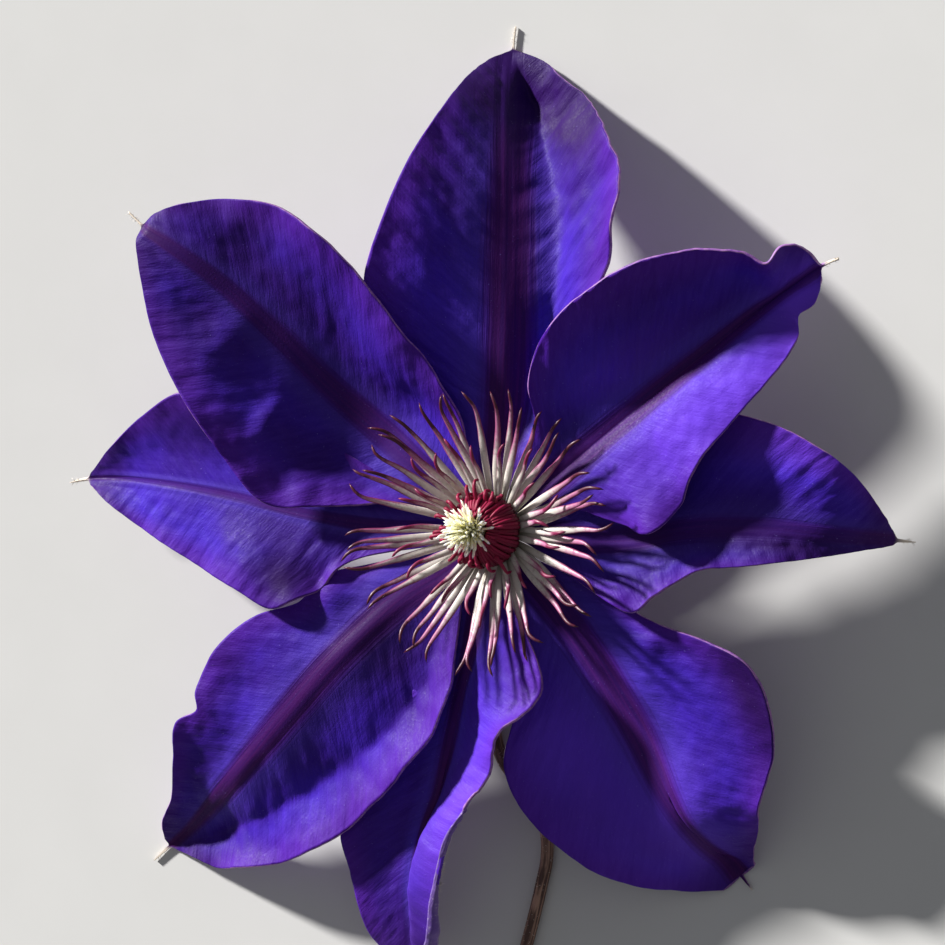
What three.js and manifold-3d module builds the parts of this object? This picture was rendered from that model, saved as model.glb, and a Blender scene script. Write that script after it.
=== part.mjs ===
// A large-flowered clematis bloom, picked with its stalk and laid face up on a flat surface.
// Millimetres, +Z up, the surface at z = 0. The flower's axis is vertical: the topmost sepal
// points to +Y, and the stalk bends down behind the flower and lies along the surface to -Y.
import * as THREE from "three";
import { mergeVertices } from "three/addons/utils/BufferGeometryUtils.js";
import Module from "manifold-3d";

const wasm = await Module();
wasm.setup();

// ---------------------------------------------------------------- driving dimensions
const heartX = 4.6; // the flower's axis, measured from the middle of the ground the flower covers
const heartY = 5.7;
const bladeThickness = 0.8; // sepals
const claspGap = 0.35; // between one organ's foot and the receptacle that it grows on
const flankCurve = 1.4; // above 1, a sepal's flanks are flat at the midrib and lift at the margin

const stalkRadius = 1.15;
const receptacleRadius = 4;
const receptacleTop = 15.6; // height of the dome that carries stamens and styles

// The heart of the bloom leans: its foot stands to the right of the axis and its crown on it.
const leanAtFoot = 1.3;
const leanFrom = 17; // height up to which it stands fully aside
const leanTo = 26; // height from which it stands on the axis

// Spreading stamens, in two whorls. A pair gives a whorl's outermost stamen first and its innermost last.
const outerWhorl = {
  count: 46,
  reach: [25, 20.5], // how far they stand out from the flower's axis
  rise: [18, 23], // their slope in degrees
  footRadius: [4.4, 3.9],
  footHeight: [16.4, 16.9],
};
const innerWhorl = {
  count: 24,
  reach: [17, 9.5],
  rise: [25, 31],
  footRadius: [3.9, 3.4],
  footHeight: [17, 17.3],
};
const filamentWidth = [1.5, 0.6]; // at the broad lower part and at the tip
const filamentFootWidth = 0.9; // narrower again where they crowd together
const filamentThickness = [0.8, 0.6];
const antherHook = 1.6; // length of the curled tip beyond the reach
const collarProfile = [[2.6, 15.95], [4.4, 15.95], [5, 16.5], [4.5, 17.4], [3.8, 17.8], [2.6, 17.8],
  [2.6, 15.95]];

// The innermost stamens, pairs as above.
const innerStamenCount = 34;
const innerFootRadius = [3.8, 2.3];
const innerFootHeight = 19.2;
const innerReach = [5.7, 3.3];
const innerCrown = [20.4, 22.2]; // height of their shoulders
const innerWidth = 0.9;
const innerThickness = 0.8;
const cushionProfile = [[1.5, 15.95], [2.2, 15.95], [2.2, 18.2], [3.8, 18.2], [4.4, 19.2], [3.6, 20.6],
  [1.5, 20.9], [1.5, 15.95]];

// Styles.
const styleCount = 34;
const styleFootHeight = 22.5;
const styleCrown = 29.4; // height of the middle of the tuft
const styleDroop = 3.4; // how much lower its rim stands
const styleSpread = 3.6;
const styleWidth = 0.7;
const styleThickness = 0.6;
const ovaryProfile = [[0, 15.95], [1.2, 15.95], [1.2, 21], [1.9, 24], [1.2, 26], [0, 26.5]];

const colours = {
  sepal: 0x3d1c92,
  filament: 0xe6cfd6,
  anther: 0x5e0d22,
  style: 0xf1ecb0,
  stalk: 0x5b3a35,
};

// Every sepal is set out in a frame of its own as [along, across, height]. `along` runs out from
// the flower's axis at the sepal's bearing, `across` is positive on the side of the next sepal
// round (anticlockwise, seen from above) and `height` is above the surface. The three lines run
// from the claw to the point of the spine: the midrib, and the margin on either side.
const sepals = [
  {
    name: "sepal_top",
    bearing: 86,
    midrib: [[4, 0, 14], [16, -1.3, 15.4], [31, -1.3, 16], [48, -0.1, 14.5], [62.5, 2.2, 11],
      [75, 5.2, 5], [80, 6.3, 0], [84, 6.8, -0.8], [88.5, 6.6, -0.4]],
    left: [[4, 0.8, 14], [11, 4, 15.2], [22, 13, 17], [31, 19.7, 21.3], [41, 22.8, 24.5],
      [51, 20.8, 24.5], [63.5, 17.8, 20], [72.8, 14.9, 13], [79.8, 12.4, 5], [82.4, 10.4, 2.5],
      [83.7, 8.2, 0.9], [84.5, 7.1, 0.4], [88.5, 7, 0.4]],
    right: [[4, -0.8, 14], [11, -5, 15.5], [23, -12, 17], [38, -17.5, 20], [49, -20.6, 23],
      [60, -22, 22.5], [68, -18.6, 17.5], [75, -11.5, 9.5], [80, -3.6, 4], [82.6, 0.5, 1.6],
      [83.9, 4.6, 0.6], [84.6, 6.2, 0.4], [88.5, 6.2, 0.4]],
  },
  {
    name: "sepal_upper_left",
    bearing: 139,
    midrib: [[4, 0, 14], [11, 0, 14.6], [22.5, 0, 16.6], [35.5, 0, 19], [49.8, -1.8, 23],
      [63.7, -2.6, 26.5], [73.9, -1.8, 28], [80, -0.8, 28], [84, -0.9, 28]],
    left: [[4, 0.8, 14], [9, 2.8, 16], [16.5, 8, 18.8], [24, 15.3, 21], [32.6, 22, 23.5],
      [42.5, 20.4, 26], [54.7, 17.3, 27.7], [66.3, 12.3, 28], [73.7, 6.8, 28], [79.3, 1.5, 28],
      [80.5, -0.4, 28], [84, -0.6, 28]],
    right: [[4, -0.8, 14], [8, -3, 15.4], [14.5, -11, 18.4], [22.5, -15.1, 21], [31.8, -17.3, 25],
      [43.9, -20.2, 27.5], [54.2, -21.7, 28.6], [64.1, -19.3, 28.6], [71.8, -14, 28.4],
      [77.1, -8.5, 28.2], [79.7, -4, 28], [80.7, -1.4, 28], [84, -1.2, 28]],
  },
  {
    name: "sepal_left",
    bearing: 173,
    midrib: [[4, 0, 14], [10, 1, 15.5], [20, 1.8, 17], [33, 1.3, 18], [47, 0, 17], [61.5, -0.5, 14],
      [74, 0, 10], [80.5, 1, 8], [83.5, 2, 8]],
    left: [[4, 0.8, 14], [10, 4, 15.5], [17, 6, 17.5], [24.4, 8.5, 19], [29.3, 13.6, 20.5],
      [36.5, 18.6, 20], [44.7, 16.1, 18.5], [52.5, 13.5, 16.5], [64.3, 9, 13.5], [73.5, 5, 11],
      [80, 1.8, 8.4], [83.5, 2.3, 8]],
    right: [[4, -0.8, 14], [10, -2.5, 14.6], [20.5, -7, 15.6], [34, -12.5, 16.8], [47.5, -17, 19],
      [59, -17, 20], [67.5, -11.5, 17], [74.5, -5.5, 12.5], [80, 0.2, 8.4], [83.5, 1.7, 8]],
  },
  {
    name: "sepal_lower_left",
    bearing: 225,
    midrib: [[4, 0, 14], [11, -0.5, 15.5], [19.8, -2.3, 17.8], [34.1, -3.1, 19], [48.5, -3.2, 17],
      [64.6, -3.6, 12.5], [78, -5, 5], [84, -6, 0.4], [88, -6.5, -0.8], [92, -6.8, -0.4]],
    left: [[4, 0.8, 14], [8, 2, 15.5], [14, 7.5, 17.5], [20.5, 13, 18.6], [26.2, 16.8, 19.5],
      [31.4, 18.9, 19], [38.5, 19.5, 18], [49, 19, 16], [63.1, 16.4, 13], [76, 9.5, 8], [83, 3, 4],
      [88, -5.6, 0.4], [92, -6.5, 0.4]],
    right: [[4, -0.8, 14], [9, -4, 15], [18, -10, 16], [26.2, -15, 17], [33.6, -15.6, 17],
      [41.1, -19.6, 17.5], [50.6, -21.1, 16.5], [59.6, -18.8, 15], [61.5, -16.5, 14.5],
      [66.2, -18, 13.5], [72.7, -14.2, 11.5], [79.2, -10.4, 8], [85, -9.2, 4.5], [88.5, -7.4, 0.4],
      [92, -7.1, 0.4]],
  },
  {
    name: "sepal_bottom",
    bearing: 257,
    midrib: [[4, 0, 14], [11, 1, 15], [21, 2.2, 16.5], [30, 1.7, 15.8], [38.5, 1.3, 14.5],
      [47, 0.8, 13], [54, -0.5, 12.1], [61, -1.2, 10.9], [67, -1.1, 9.5], [73.5, 0.2, 7.5], [81, 0, 5]],
    left: [[4, 0.8, 14], [9.5, 5, 16], [16.5, 12.5, 19], [23, 17, 21.5], [29, 15.4, 22.3],
      [34.4, 13, 21.2], [42.7, 10.2, 19.8], [53, 5.7, 17.2], [57.5, 5, 16.2], [66, 4.2, 13.3],
      [73, 4.3, 10.8], [81, 1, 5.7]],
    leftRoll: [[4, 0.4, 14], [10, 2.8, 15.4], [19, 5.8, 17.2], [33, 5.8, 16.6], [46, 4.2, 15],
      [56, 1.2, 13.2], [65, 0.5, 11], [73.6, 1.6, 8.4], [81, 0.4, 5.4]],
    right: [[4, -0.8, 14], [8, -1.5, 14.1], [12, -2.6, 14.4], [21, -6.2, 15], [33, -9.8, 14.2],
      [46.2, -14.4, 12.5], [58.7, -16.5, 11], [65.2, -14, 9.5], [71, -11.7, 7.5], [77, -8, 6],
      [81, -0.8, 4.8]],
  },
  {
    name: "sepal_lower_right",
    bearing: 305,
    midrib: [[4, 0, 14], [13.5, 2, 14.5], [27.5, 3, 14.5], [40.5, 2.2, 13], [52, 0.6, 10],
      [63, -0.3, 5], [70, -0.7, 0.4], [76, -0.5, -0.8]],
    left: [[4, 0.8, 14], [11.5, 5.5, 14.5], [20.5, 11, 15.5], [29.7, 15.5, 17], [38, 21.5, 19],
      [45.5, 26, 19.5], [53.5, 25, 18], [60.7, 20, 15.5], [67, 12.5, 11], [71, 6, 5], [75, 0.6, 0.6],
      [76, 0, 0.4]],
    right: [[4, -0.8, 14], [11, -3, 14.5], [21, -6.5, 15], [29, -14.3, 16], [35, -21, 16],
      [42.5, -23.3, 14.5], [52, -22.3, 11], [62, -18, 6.5], [70, -9.7, 2], [75, -2, 0.4],
      [76, -1, 0.4]],
  },
  {
    name: "sepal_right",
    bearing: 359,
    midrib: [[4, 0, 14], [13, -1, 15.5], [24.5, -1.2, 16.3], [37.4, 0.8, 17.5], [49.8, 1.4, 18.3],
      [62, 0.6, 16.5], [68.5, 0, 11.5], [71.5, -0.3, 8], [74, -0.6, 6.2]],
    left: [[4, 0.8, 14], [11, 3.3, 15], [20.2, 10.8, 15.8], [31.5, 17.8, 17], [42.6, 21, 19],
      [50.2, 19.8, 20.5], [58, 16.8, 20.8], [64, 13.2, 19], [67.4, 8.5, 15], [70.9, 1, 8.4],
      [74, -0.3, 6.2]],
    right: [[4, -0.8, 14], [10.5, -4.2, 15.5], [19, -9.5, 18], [28, -13.7, 20], [32, -10.6, 20],
      [38.5, -6.5, 19.3], [50, -5, 18.8], [60, -3.4, 16.5], [67.7, -1.8, 11.5], [71.2, -1, 7.8],
      [74, -0.9, 6.2]],
  },
  {
    name: "sepal_upper_right",
    bearing: 40,
    midrib: [[4, 0, 14], [13, -1, 16.4], [26.7, -1.9, 18.5], [38.5, -2.4, 19], [49, -2.8, 18.3],
      [60.2, -3.1, 18], [68.4, -3.6, 17], [75.3, -4.3, 16.5], [78.3, -5.3, 16.5]],
    left: [[4, 0.8, 14], [9.5, 3.5, 16], [19, 6.8, 20], [24, 12.8, 24], [33, 16.7, 27.5],
      [44, 16.8, 29], [54, 14.5, 29.5], [61, 10.5, 28.5], [67, 5.2, 26.5], [69.8, 0.6, 25],
      [73.5, 1.2, 24], [75.5, -1, 22], [76, -4, 17.8], [78.5, -5.2, 17.5]],
    right: [[4, -0.8, 14], [11.5, -3.9, 16.6], [16.4, -9.4, 18.4], [20.2, -15.7, 20],
      [24.5, -21, 22.5], [30.5, -20.6, 22.5], [35.3, -18.5, 23.5], [45.2, -15.9, 23.5],
      [56.8, -14.3, 22], [65, -11.5, 20], [67.2, -8.5, 19], [70.5, -8.6, 18.3], [75.3, -5.3, 16.8],
      [78.3, -5.6, 16.5]],
  },
];

// The stalk's centre line, from inside the receptacle down behind the flower and away.
const stalkRoute = [[0, 0, 13], [0, 0, 10.5], [-0.6, -3.5, 6.5], [-1.6, -10, 3.4], [-3.4, -20, 2.2],
  [-4.4, -30, 1.6], [-2.9, -40, 1.2], [2, -46.5, 1.2], [5.3, -52, 1.2], [5.7, -57.5, 1.2], [4.6, -63, 1.2],
  [2, -73, 1.2], [-1.8, -86, 1.2], [-5, -100, 1.2]];

// ---------------------------------------------------------------- shared construction
/** Repeatable random numbers from 0 to 1. */
function drawFrom(seed) {
  let state = seed;
  return () => {
    state = (Math.imul(state, 1664525) + 1013904223) >>> 0;
    return state / 4294967296;
  };
}

/** A closed body from any geometry whose faces already point out. */
function solid(geometry) {
  geometry.deleteAttribute("normal");
  geometry.deleteAttribute("uv");
  const merged = mergeVertices(geometry, 1e-4);
  return new wasm.Manifold(
    new wasm.Mesh({
      numProp: 3,
      vertProperties: new Float32Array(merged.attributes.position.array),
      triVerts: new Uint32Array(merged.index.array),
    }),
  );
}

function fuse(solids) {
  return solids.reduce((whole, piece) => whole.add(piece));
}

/** A body turned about the flower's axis, its profile given as [radius, height]. */
function turned(profile, sides) {
  const geometry = new THREE.LatheGeometry(profile.map((point) => new THREE.Vector2(...point)), sides);
  geometry.rotateX(Math.PI / 2);
  return solid(geometry);
}

/** A named mesh of one fused body. */
function organ(name, body, colour, roughness) {
  const { vertProperties, triVerts } = body.getMesh();
  const geometry = new THREE.BufferGeometry();
  geometry.setAttribute("position", new THREE.BufferAttribute(vertProperties, 3));
  geometry.setIndex(new THREE.BufferAttribute(triVerts, 1));
  geometry.computeVertexNormals();
  const mesh = new THREE.Mesh(geometry, new THREE.MeshStandardMaterial({ color: colour, roughness }));
  mesh.name = name;
  return mesh;
}

// ---------------------------------------------------------------- sepals
const bladeRows = 16; // from claw to tip
const rowCrowding = 1.3; // above 1, the rows stand closer together towards the tip
const spineRows = 2;
const spineShare = 0.045; // of each line's length
const flankColumns = 4; // from midrib to margin

/** The share of a line's length at which a row of the blade stands; rows close up at the tip. */
function shareAt(row) {
  if (row > bladeRows) return 1 - spineShare + (spineShare * (row - bladeRows)) / spineRows;
  return (1 - spineShare) * (1 - (1 - row / bladeRows) ** rowCrowding);
}

function lineThrough(points) {
  return new THREE.CatmullRomCurve3(points.map((point) => new THREE.Vector3(...point)));
}

/** Places a point on the curve that runs from the midrib through a halfway guide to the margin. */
function rollThrough(point, centre, guide, margin, out) {
  point.set(0, 0, 0);
  point.addScaledVector(centre, (1 - out) * (1 - 2 * out));
  point.addScaledVector(guide, 4 * out * (1 - out));
  point.addScaledVector(margin, out * (2 * out - 1));
}

/** A blade: the surface spanned by its midrib and margins, thickened by half on each face. */
function sepalBlade({ midrib, left, right, leftRoll }) {
  const spine = lineThrough(midrib);
  const margins = [lineThrough(right), lineThrough(left)];
  const roll = leftRoll && lineThrough(leftRoll);
  const rows = bladeRows + spineRows;
  const columns = 2 * flankColumns;
  const half = bladeThickness / 2;

  const middle = [];
  for (let row = 0; row <= rows; row += 1) {
    const share = shareAt(row);
    const centre = spine.getPointAt(share);
    const line = [];
    for (let column = 0; column <= columns; column += 1) {
      const out = Math.abs(column - flankColumns) / flankColumns;
      const onLeft = column > flankColumns;
      const margin = margins[onLeft ? 1 : 0].getPointAt(share);
      const point = centre.clone().lerp(margin, out);
      point.z = centre.z + (margin.z - centre.z) * out ** flankCurve;
      if (onLeft && roll) rollThrough(point, centre, roll.getPointAt(share), margin, out);
      point.z = Math.max(half, point.z);
      line.push(point);
    }
    middle.push(line);
  }

  const normalAt = (row, column) => {
    const ahead = middle[Math.min(row + 1, rows)][column];
    const behind = middle[Math.max(row - 1, 0)][column];
    const leftward = middle[row][Math.min(column + 1, columns)];
    const rightward = middle[row][Math.max(column - 1, 0)];
    const lengthwise = ahead.clone().sub(behind);
    const crosswise = leftward.clone().sub(rightward);
    return lengthwise.cross(crosswise).normalize();
  };

  // Both faces are split along the same diagonals, so they stay a blade's thickness apart.
  const positions = [];
  const index = [];
  const faceSize = (rows + 1) * (columns + 1);
  const corner = (face, row, column) => face * faceSize + row * (columns + 1) + column;
  for (const side of [-1, 1]) {
    for (let row = 0; row <= rows; row += 1) {
      for (let column = 0; column <= columns; column += 1) {
        const point = middle[row][column].clone();
        const lying = point.z <= half + 1e-6;
        const normal = lying ? new THREE.Vector3(0, 0, 1) : normalAt(row, column);
        point.addScaledVector(normal, side * half);
        positions.push(point.x, point.y, Math.max(0, point.z));
      }
    }
  }
  for (let row = 0; row < rows; row += 1) {
    for (let column = 0; column < columns; column += 1) {
      const cell = (face) => [
        corner(face, row, column),
        corner(face, row + 1, column),
        corner(face, row + 1, column + 1),
        corner(face, row, column + 1),
      ];
      const [a, b, c, d] = cell(1);
      const [e, f, g, h] = cell(0);
      index.push(a, b, c, a, c, d, e, g, f, e, h, g);
    }
  }
  const rim = [];
  for (let column = 0; column < columns; column += 1) rim.push([0, column]);
  for (let row = 0; row < rows; row += 1) rim.push([row, columns]);
  for (let column = columns; column > 0; column -= 1) rim.push([rows, column]);
  for (let row = rows; row > 0; row -= 1) rim.push([row, 0]);
  rim.forEach(([row, column], at) => {
    const [nextRow, nextColumn] = rim[(at + 1) % rim.length];
    const low = corner(0, row, column);
    const high = corner(1, row, column);
    const nextLow = corner(0, nextRow, nextColumn);
    const nextHigh = corner(1, nextRow, nextColumn);
    index.push(low, high, nextHigh, low, nextHigh, nextLow);
  });
  const geometry = new THREE.BufferGeometry();
  geometry.setAttribute("position", new THREE.Float32BufferAttribute(positions, 3));
  geometry.setIndex(index);
  return geometry;
}

function makeSepal(sepal) {
  const geometry = sepalBlade(sepal);
  const mesh = organ(sepal.name, solid(geometry), colours.sepal, 0.5);
  mesh.rotation.z = THREE.MathUtils.degToRad(sepal.bearing);
  return mesh;
}

// ---------------------------------------------------------------- straps: stamens and styles
/** A slender four-sided strap along a line, its width and thickness given along the way. */
function strap(line, steps, widthAt, thicknessAt) {
  const geometry = new THREE.BoxGeometry(1, 1, 1, 1, 1, steps);
  const position = geometry.attributes.position;
  const up = new THREE.Vector3(0, 0, 1);
  for (let at = 0; at < position.count; at += 1) {
    const share = position.getZ(at) + 0.5;
    const forward = line.getTangent(share);
    const across = up.clone().cross(forward).normalize();
    const facing = forward.clone().cross(across).normalize();
    const point = line.getPoint(share);
    point.addScaledVector(across, position.getX(at) * widthAt(share));
    point.addScaledVector(facing, position.getY(at) * thicknessAt(share));
    position.setXYZ(at, point.x, point.y, point.z);
  }
  return geometry;
}

/** A point by its distance and bearing from the flower's axis, and its height. */
function around(radius, bearing, height) {
  return new THREE.Vector3(radius * Math.cos(bearing), radius * Math.sin(bearing), height);
}

const goldenAngle = Math.PI * (3 - Math.sqrt(5));
const { lerp, degToRad } = THREE.MathUtils;

/** A random share either side of nought, at most half the spread. */
function stray(draw, spread) {
  return spread * (draw() - 0.5);
}

/** Sets a point of the flower's heart aside by the lean at its height. */
function leanOver(point) {
  const upright = THREE.MathUtils.clamp((point[2] - leanFrom) / (leanTo - leanFrom), 0, 1);
  point[0] += leanAtFoot * (1 - upright);
}

/** One whorl of spreading stamens: flat filaments set in a spiral, with thin curled anthers. */
function whorl({ count, reach: reaches, rise, footRadius, footHeight }, draw) {
  const pieces = [];
  for (let at = 0; at < count; at += 1) {
    const inward = at / (count - 1);
    const bearing = at * goldenAngle + stray(draw, 0.05);
    const reach = lerp(...reaches, inward * 0.6 + draw() * 0.4);
    const slope = Math.tan(degToRad(lerp(...rise, inward)));
    const foot = lerp(...footRadius, inward);
    const base = lerp(...footHeight, inward);
    const sway = stray(draw, 0.16);
    const curl = stray(draw, antherHook);
    const knee = lerp(foot, reach, 0.35);
    const shoulder = lerp(foot, reach, 0.75);
    const tip = reach + antherHook;
    const heightAt = (radius) => base + slope * (radius - foot);
    const line = new THREE.CatmullRomCurve3([
      around(foot, bearing, base),
      around(knee, bearing + sway * 0.3, heightAt(knee)),
      around(shoulder, bearing + sway, heightAt(shoulder)),
      around(reach, bearing + sway + curl / reach, heightAt(reach) + 0.4),
      around(tip, bearing + sway + (3 * curl) / reach, heightAt(reach) + 1.2 * draw()),
    ]);
    const widthAt = (share) => (share < 0.1 ? filamentFootWidth : lerp(...filamentWidth, share));
    const thicknessAt = (share) => lerp(...filamentThickness, share);
    pieces.push(solid(strap(line, 5, widthAt, thicknessAt)));
  }
  return pieces;
}

function makeStamens() {
  const draw = drawFrom(7);
  const pieces = [turned(collarProfile, 20), ...whorl(outerWhorl, draw), ...whorl(innerWhorl, draw)];
  return organ("stamens", fuse(pieces).warp(leanOver), colours.filament, 0.55);
}

/** The crowded inner stamens: short dark anthers round the styles, their tips hooked outward. */
function makeInnerStamens() {
  const draw = drawFrom(11);
  const pieces = [turned(cushionProfile, 16)];
  for (let at = 0; at < innerStamenCount; at += 1) {
    const inward = at / (innerStamenCount - 1);
    const bearing = at * goldenAngle;
    const foot = lerp(...innerFootRadius, inward);
    const reach = lerp(...innerReach, inward) + 0.5 * draw();
    const crown = lerp(...innerCrown, inward) + 0.6 * draw();
    const line = new THREE.CatmullRomCurve3([
      around(foot, bearing, innerFootHeight),
      around((foot + reach) / 2, bearing, crown - 0.6),
      around(reach, bearing + stray(draw, 0.1), crown),
      around(reach + 0.8, bearing + stray(draw, 0.3), crown - 0.5),
    ]);
    pieces.push(solid(strap(line, 3, () => innerWidth, () => innerThickness)));
  }
  return organ("inner_stamens", fuse(pieces).warp(leanOver), colours.anther, 0.5);
}

/** The tuft of styles: slender threads on the heart of the receptacle, splayed at their tips. */
function makeStyles() {
  const draw = drawFrom(5);
  const pieces = [turned(ovaryProfile, 12)];
  for (let at = 0; at < styleCount; at += 1) {
    const bearing = at * goldenAngle;
    const splay = Math.sqrt((at + 0.5) / styleCount);
    const reach = 0.6 + styleSpread * splay + 0.4 * draw();
    const crown = styleCrown - styleDroop * splay ** 2 + 0.5 * draw();
    const line = new THREE.CatmullRomCurve3([
      around(0.3 + 0.8 * splay, bearing, styleFootHeight),
      around(0.4 + 2 * splay, bearing, lerp(styleFootHeight, crown, 0.6)),
      around(reach, bearing + stray(draw, 0.3), crown),
    ]);
    pieces.push(solid(strap(line, 2, () => styleWidth, () => styleThickness)));
  }
  return organ("styles", fuse(pieces).warp(leanOver), colours.style, 0.6);
}

// ---------------------------------------------------------------- stalk and receptacle
function makeStalk() {
  const section = new THREE.Shape();
  section.absarc(0, 0, stalkRadius, 0, 2 * Math.PI);
  const route = lineThrough(stalkRoute);
  const tube = new THREE.ExtrudeGeometry(section, { extrudePath: route, steps: 34, curveSegments: 4 });
  const rim = receptacleRadius - claspGap;
  const domeProfile = [[0, 11.4], [stalkRadius, 11.6], [2.4, 12.6], [rim, 13.4], [rim, 14.8],
    [2.2, receptacleTop], [0, receptacleTop]];
  return organ("stalk", fuse([solid(tube), turned(domeProfile, 16)]), colours.stalk, 0.65);
}

// ---------------------------------------------------------------- the flower
const flower = new THREE.Group();
flower.position.set(heartX, heartY, 0);
flower.add(...sepals.map(makeSepal));
flower.add(makeStamens(), makeInnerStamens(), makeStyles(), makeStalk());

export default flower;
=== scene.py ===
import math

import bmesh
import bpy
from mathutils import Matrix, Vector, noise


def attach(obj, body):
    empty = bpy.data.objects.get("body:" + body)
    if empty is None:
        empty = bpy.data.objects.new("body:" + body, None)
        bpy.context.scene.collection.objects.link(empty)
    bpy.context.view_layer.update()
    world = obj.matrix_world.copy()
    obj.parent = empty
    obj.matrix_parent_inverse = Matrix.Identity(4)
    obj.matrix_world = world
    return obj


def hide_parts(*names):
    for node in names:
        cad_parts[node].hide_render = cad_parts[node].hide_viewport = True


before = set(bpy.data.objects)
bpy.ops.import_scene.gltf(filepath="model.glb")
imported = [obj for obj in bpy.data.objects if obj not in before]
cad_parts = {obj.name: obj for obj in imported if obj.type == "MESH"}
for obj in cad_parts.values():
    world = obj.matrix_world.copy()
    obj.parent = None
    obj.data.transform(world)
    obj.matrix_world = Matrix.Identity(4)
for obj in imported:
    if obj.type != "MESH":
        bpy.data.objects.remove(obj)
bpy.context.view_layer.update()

# A clematis bloom, picked with its stalk and laid face up. Metres, +Z up, the surface at z = 0.
# Points and sizes below are in millimetres, and the points are measured from the flower's axis.
mm = 0.001
flower_axis = Vector((4.6, 5.7, 0))


# ---------------------------------------------------------------- stalk and receptacle
# The woody stalk bends down behind the bloom and lies along the surface to its cut end. Its top
# swells into the receptacle, which carries every other organ. A pale scar marks an old bud.
stalk_route = [
    [0, 0, 14], [0, 0, 10.5], [-0.6, -3.5, 6.5], [-1.6, -10, 3.4], [-3.4, -20, 2.2], [-4.4, -30, 1.6],
    [-2.9, -40, 1.2], [2, -46.5, 1.2], [5.3, -52, 1.2], [5.7, -57.5, 1.2], [4.6, -63, 1.2],
    [2, -73, 1.2], [-1.8, -86, 1.2], [-5, -100, 1.2],
]
stalk_radius = 1.12
bud_scar_share = 0.565
bark_brown = (0.085, 0.040, 0.030, 1)
bark_tan = (0.40, 0.235, 0.17, 1)
scar_pale = (0.50, 0.33, 0.27, 1)
receptacle_outline = [  # radius, height
    (0, 10.6), (1.2, 11.0), (1.7, 12.0), (2.8, 12.9), (4.2, 13.5), (4.3, 14.4), (3.6, 15.1), (1.2, 15.5),
    (0, 15.6),
]


def smooth_line(points, steps=24):
    """A smooth line through the points, called with the share of its length from start to end."""
    knots = [Vector(point) for point in points]
    knots = [2 * knots[0] - knots[1], *knots, 2 * knots[-1] - knots[-2]]
    places = []
    for before, start, end, after in zip(knots, knots[1:], knots[2:], knots[3:]):
        near = max((start - before).length, 1e-6) ** 0.5
        span = max((end - start).length, 1e-6) ** 0.5
        far = max((after - end).length, 1e-6) ** 0.5
        leave = span * ((start - before) / near - (end - before) / (near + span) + (end - start) / span)
        arrive = span * ((end - start) / span - (after - start) / (span + far) + (after - end) / far)
        for step in range(steps):
            way = step / steps
            places.append(
                start
                + leave * way
                + (3 * (end - start) - 2 * leave - arrive) * way * way
                + (2 * (start - end) + leave + arrive) * way ** 3
            )
    places.append(knots[-2])
    reached = [0.0]
    for here, there in zip(places, places[1:]):
        reached.append(reached[-1] + (there - here).length)

    def at(share):
        goal = min(max(share, 0), 1) * reached[-1]
        low, high = 0, len(reached) - 1
        while high - low > 1:
            middle = (low + high) // 2
            low, high = (middle, high) if reached[middle] <= goal else (low, middle)
        rest = (goal - reached[low]) / max(reached[high] - reached[low], 1e-9)
        return places[low].lerp(places[high], rest)

    at.length = reached[-1]
    return at


def smoothstep(low, high, value):
    """0 at low and 1 at high, with an easy start and end between them."""
    way = min(max((value - low) / (high - low), 0), 1)
    return way * way * (3 - 2 * way)


def tapered(stops, share):
    """The size at a share of the way, from stops of (share, size)."""
    for (start, first), (end, last) in zip(stops, stops[1:]):
        if share <= end:
            return first + (last - first) * smoothstep(start, end, share)
    return stops[-1][1]


def taper(*stops):
    """A size from stops of (share, size), for a strand to follow from its foot to its tip."""
    return lambda share: tapered(stops, share)


def close_into(mesh, body):
    """Merges the seam and poles of a new body, turns its faces outwards and adds it to the mesh."""
    bmesh.ops.remove_doubles(body, verts=body.verts, dist=2e-6)
    bmesh.ops.recalc_face_normals(body, faces=body.faces)
    copy = bpy.data.meshes.new("body")
    body.to_mesh(copy)
    body.free()
    mesh.from_mesh(copy)
    bpy.data.meshes.remove(copy)


def strand(mesh, line, steps, sides, width_at, depth_at, marks):
    """A closed slender body along a line: a grid rolled round it, its seam and both tips merged.
    marks maps the name of a vertex attribute to its value at (share, angle)."""
    body = bmesh.new()
    bmesh.ops.create_grid(body, x_segments=steps, y_segments=sides, size=1)
    layers = {name: body.verts.layers.float.new(name) for name in marks}
    for vert in body.verts:
        share = (vert.co.x + 1) / 2
        angle = math.pi * vert.co.y
        ahead = line(share + 0.01) - line(share - 0.01)
        across = Vector((0, 0, 1)).cross(ahead)
        across = across.normalized() if across.length > 1e-4 else Vector((1, 0, 0))
        facing = ahead.cross(across).normalized()
        for name, layer in layers.items():
            vert[layer] = marks[name](share, angle)
        place = line(share)
        place += across * (math.cos(angle) * width_at(share) / 2)
        place += facing * (math.sin(angle) * depth_at(share) / 2)
        vert.co = (place + flower_axis) * mm
    close_into(mesh, body)


def turned_body(mesh, profile, steps):
    """A body turned about the flower's axis from a profile of (radius, height)."""
    body = bmesh.new()
    verts = [body.verts.new((flower_axis + Vector((radius, 0, height))) * mm) for radius, height in profile]
    edges = [body.edges.new(pair) for pair in zip(verts, verts[1:])]
    bmesh.ops.spin(
        body, geom=verts + edges, cent=flower_axis * mm, axis=(0, 0, 1),
        angle=2 * math.pi, steps=steps, use_merge=True,
    )
    close_into(mesh, body)


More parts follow.
